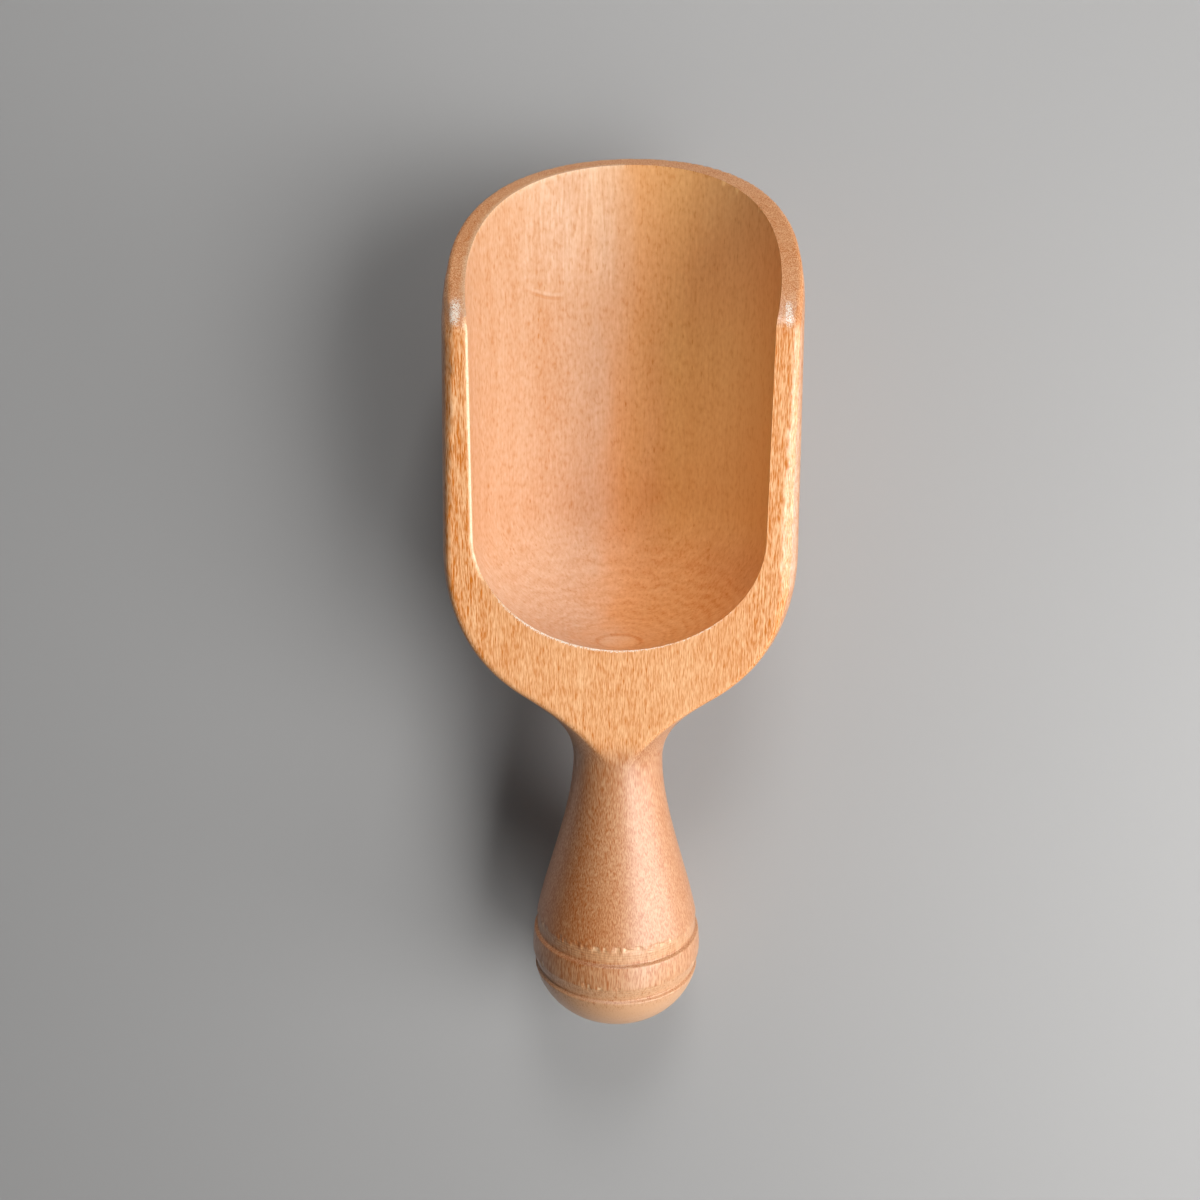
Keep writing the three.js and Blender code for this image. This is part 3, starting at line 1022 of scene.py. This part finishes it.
    def note_edges(self, blank, form, s):
        """Notes where the rim's edges are ragged, where highlights and glints are painted on them, and
        where they are worn smooth.
        """
        crest_middle = form.corner + 0.0018
        left_crest = -0.0256
        right_crest = 0.0252
        p = points_of(blank)
        across = p[:, 0]
        along = p[:, 1]
        saw = form.saw(p)
        bore = form.bore(p)
        swept = ramp(along, form.corner - 0.001, form.corner + 0.002)
        sawn = ramp(saw, -0.0009, -0.0001) * ramp(along, 0.0005, 0.006)

        back = 1 - ramp(along, s.heel_wood + 0.004, form.bore_start)
        ragged = close_to(self.off_inner_edge(form, p), 0.0001, 0.0009) * back
        ragged = ragged * (1 - 0.25 * ramp(across, -0.002, 0.008))
        # Painted glints, speckled, where the flat rim turns into the front cut, on both sides
        crest = close_to(along - crest_middle, 0.0008, 0.0038) * sawn
        left_glint = crest * close_to(across - left_crest, 0.0004, 0.0018)
        right_glint = crest * close_to(across - right_crest, 0.0002, 0.0012)
        note(blank, "burred", np.maximum.reduce((ragged, 0.85 * left_glint, 0.85 * right_glint)))

        # Painted highlight along the left inner edge, and painted sheen on the right bevel
        bevelled = ramp(form.bevel_face(p), -0.0003, -0.0001) * (across > 0)
        bevelled = bevelled * ramp(along, s.heel_reach - 0.008, s.heel_reach)
        edge_glint = ramp(bore, -0.0007, -0.0004) * ramp(saw, -0.0006, -0.0003) * (1 - swept)
        edge_glint = edge_glint + 0.4 * swept * ramp(bore, -0.0003, -0.0001) * ramp(saw, -0.0003, -0.0001)
        edge_glint = edge_glint * (across < 0) * ramp(along, s.heel_wood + 0.008, form.bore_start)
        note(blank, "bleached", np.maximum(edge_glint, 0.12 * bevelled * (1 - swept)))
        note(blank, "worn", np.maximum.reduce((bevelled * (1 - 0.5 * swept), edge_glint, crest)))

    def off_inner_edge(self, form, p):
        """Distance from the edge between saw cut and hollow."""
        return np.maximum(np.abs(form.saw(p)), np.abs(form.bore(p)))

    def raise_burr(self, blank, form, s):
        """Lifts ragged fibres along the back of the rim's inner edge."""
        lot = np.random.default_rng(BURR_SEED)
        p = points_of(blank)
        back = 1 - ramp(p[:, 1], s.heel_wood + 0.003, s.heel_wood + s.bore_round * 0.6)
        lift = s.burr * close_to(self.off_inner_edge(form, p), 0.0002, 0.0006) * back * (p[:, 2] > 0)
        p[:, 2] = p[:, 2] + lift * lot.uniform(-0.3, 1.0, len(p))
        p[:, 1] = p[:, 1] + lift * lot.uniform(-0.6, 0.8, len(p))
        move_points(blank, p)


class SCOOP_OT_handle(bpy.types.Operator):
    """Turn the handle with its grooves and tenon, and chip the groove lips"""

    bl_idname = "scoop.handle"
    bl_label = "Handle"

    def execute(self, context):
        s = context.scene.scoop_handle
        form = HandleForm(s)
        tenon = s.tenon_diameter / 2
        chamfer = s.tenon_chamfer
        end = s.tenon_length
        peg = ((tenon, 0.0), (tenon, end - chamfer), (tenon - chamfer, end), (0.0, end))
        grip = turn_on_lathe("handle_wood", np.vstack((form.outline(), peg)), FINE_SIDES)
        self.chip(grip, form, s)
        lay_down(grip)
        bpy.ops.object.shade_smooth_by_angle(angle=SHARP_ANGLE)
        finish_piece(grip, wood_finish(context.scene.scoop_wood), "handle")
        return {"FINISHED"}

    def ragged(self, angle, lot, share, s):
        """Height, depth and paleness of the teeth torn out of a groove's lip, for each place round it."""
        teeth = 120
        ends = np.cumsum(lot.uniform(0.35, 1.9, teeth)) * s.chip_size
        turn = (angle + math.pi) * s.knob_diameter / 2
        which = np.minimum(np.searchsorted(ends, turn), teeth - 1)
        starts = np.concatenate(([0.0], ends[:-1]))
        within = (turn - starts[which]) / (ends - starts)[which]
        tall = s.chip_size * lot.uniform(0.3, 1.4, teeth) * (lot.uniform(0.0, 1.0, teeth) < share)
        slant = lot.uniform(-0.5, 0.3, teeth)
        deep = s.chip_depth * lot.uniform(0.3, 1.0, teeth)
        pale = lot.uniform(0.0, 0.8, teeth)
        return tall[which] * (1 + slant[which] * within), deep[which], pale[which]

    def chip(self, grip, form, s):
        """Tears teeth out of the groove lips, and notes torn fibres, darkening at the grooves' feet, tool
        lines and streaks.
        """
        torn_shares = (0.5, 0.22)
        tooth_tip = 1e-5
        spared = s.tenon_diameter / 2 + 0.0003
        lot = np.random.default_rng(CHIP_SEED)
        p = points_of(grip)
        along = p[:, 1]
        radius = np.hypot(p[:, 0], p[:, 2])
        angle = np.arctan2(p[:, 0], p[:, 2])
        loss = np.zeros(len(p))
        torn = np.zeros(len(p))
        foot_darkening = np.zeros(len(p))
        lined = np.zeros(len(p))
        for foot, share in zip(form.feet, torn_shares):
            brow = foot + s.groove_width
            tall, deep, pale = self.ragged(angle, lot, share, s)
            top = brow + tall
            inside = window(along, brow - 0.0009, brow - 0.0001, brow + tall * 0.7, top + tooth_tip)
            loss = np.maximum(loss, deep * inside * (tall > 0))
            torn = np.maximum(torn, pale * inside * (tall > 0))
            slope = window(along, foot + 0.0002, foot + 0.0006, brow - 0.0003, brow + 0.0002)
            torn = np.maximum(torn, slope * 0.4)
            lined = np.maximum(lined, slope)
            # Darker along the foot of each groove
            foot_darkening = np.maximum(foot_darkening, close_to(along - foot + 0.0001, 0.00006, 0.0003))
        upper, lower = form.feet
        streaky = window(along, lower - 0.009, lower, upper, upper + 0.003)
        loss = loss * (radius > spared)
        keep = (radius - loss) / np.maximum(radius, TINY)
        p[:, 0] = p[:, 0] * keep
        p[:, 2] = p[:, 2] * keep
        move_points(grip, p)
        note(grip, "torn", torn)
        note(grip, "foot_darkening", foot_darkening)
        note(grip, "lined", lined)
        note(grip, "streaky", streaky)


class SCOOP_OT_stage(bpy.types.Operator):
    """Lay the table, hang the lamps and set up the camera"""

    bl_idname = "scoop.stage"
    bl_label = "Table, lamps and camera"

    def execute(self, context):
        look = context.scene.scoop_stage
        self.table(look)
        self.lamp("key_lamp", place=(0.4, -0.1, 0.48), size=(0.6, 0.3), power=look.key)
        self.lamp("side_lamp", place=(0.55, -0.1, 0.2), size=(0.3, 0.3), power=look.side)
        self.lamp("front_lamp", place=(0.06, 0.55, 0.5), size=(0.25, 0.25), power=look.front)
        self.lamp("back_lamp", place=(0.3, -0.5, 0.4), size=(0.35, 0.35), power=look.back)
        self.sky(context, look)
        self.camera(context)
        context.scene.view_settings.view_transform = "Standard"
        return {"FINISHED"}

    def table(self, look):
        """A wide plain table top, faintly uneven in tone."""
        bpy.ops.object.select_all(action="DESELECT")
        bpy.ops.mesh.primitive_plane_add(size=TABLE_WIDTH, location=(0.0, 0.0, TABLE_HEIGHT))
        top = bpy.context.object
        top.name = "table_top"
        finish = Finish("table_grey")
        here = finish.add("ShaderNodeTexCoord", None, None, "Object")
        cloud = finish.noise(here, (6.0, 6.0, 6.0), 3.0)
        darkening = 0.94
        darker = tuple(darkening * c for c in look.floor)
        base = finish.blend(cloud, (*darker, 1.0), (*look.floor, 1.0))
        shader = finish.add("ShaderNodeBsdfPrincipled", None, {"Base Color": base, "Roughness": 0.55})
        finish.close(shader)
        top.data.materials.append(finish.material)

    def lamp(self, name, place, size, power):
        """A large soft lamp that faces the scoop."""
        bpy.ops.object.light_add(type="AREA", location=place)
        lamp = bpy.context.object
        lamp.name = name
        lamp.data.shape = "RECTANGLE"
        lamp.data.size = size[0]
        lamp.data.size_y = size[1]
        lamp.data.energy = power
        aim = -lamp.location.normalized()
        lamp.rotation_euler = aim.to_track_quat("-Z", "Y").to_euler()

    def sky(self, context, look):
        """Even pale light from all sides."""
        world = bpy.data.worlds.new("studio")
        world.use_nodes = True
        context.scene.world = world
        shade = world.node_tree.nodes["Background"]
        shade.inputs["Color"].default_value = (0.95, 0.97, 1.0, 1.0)
        shade.inputs["Strength"].default_value = look.sky

    def camera(self, context):
        """A camera almost straight above the bowl."""
        place = (0.001909, 0.016804, 0.227236)
        turn = tuple(math.radians(angle) for angle in (-4.665, 1.534, 0.621))
        bpy.ops.object.camera_add(location=place, rotation=turn)
        camera = bpy.context.object
        camera.data.sensor_width = 36.0
        camera.data.lens = 36.0
        camera.data.clip_start = 0.01
        context.scene.camera = camera


class SCOOP_PT_panel(bpy.types.Panel):
    """Sizes, colours and the buttons that build the scoop"""

    bl_idname = "SCOOP_PT_panel"
    bl_label = "Wooden scoop"
    bl_space_type = "VIEW_3D"
    bl_region_type = "UI"
    bl_category = "Scoop"

    def draw(self, context):
        for operator, groups in STEPS:
            self.layout.operator(operator)
            for group in groups:
                sizes = getattr(context.scene, group)
                box = self.layout.box()
                for name in sizes.__annotations__:
                    box.prop(sizes, name)


STEPS = (
    ("scoop.bowl", ("scoop_bowl", "scoop_wood")),
    ("scoop.handle", ("scoop_handle",)),
    ("scoop.stage", ("scoop_stage",)),
)
GROUPS = {
    "scoop_bowl": ScoopBowlSizes,
    "scoop_handle": ScoopHandleSizes,
    "scoop_wood": ScoopWoodLook,
    "scoop_stage": ScoopStageLook,
}
CLASSES = (SCOOP_OT_bowl, SCOOP_OT_handle, SCOOP_OT_stage, SCOOP_PT_panel)


def register():
    for name, group in GROUPS.items():
        bpy.utils.register_class(group)
        setattr(bpy.types.Scene, name, bpy.props.PointerProperty(type=group))
    for item in CLASSES:
        bpy.utils.register_class(item)


def unregister():
    for item in reversed(CLASSES):
        bpy.utils.unregister_class(item)
    for name, group in GROUPS.items():
        delattr(bpy.types.Scene, name)
        bpy.utils.unregister_class(group)


def main():
    register()
    bpy.ops.scoop.bowl()
    bpy.ops.scoop.handle()
    bpy.ops.scoop.stage()


if __name__ == "__main__":
    main()
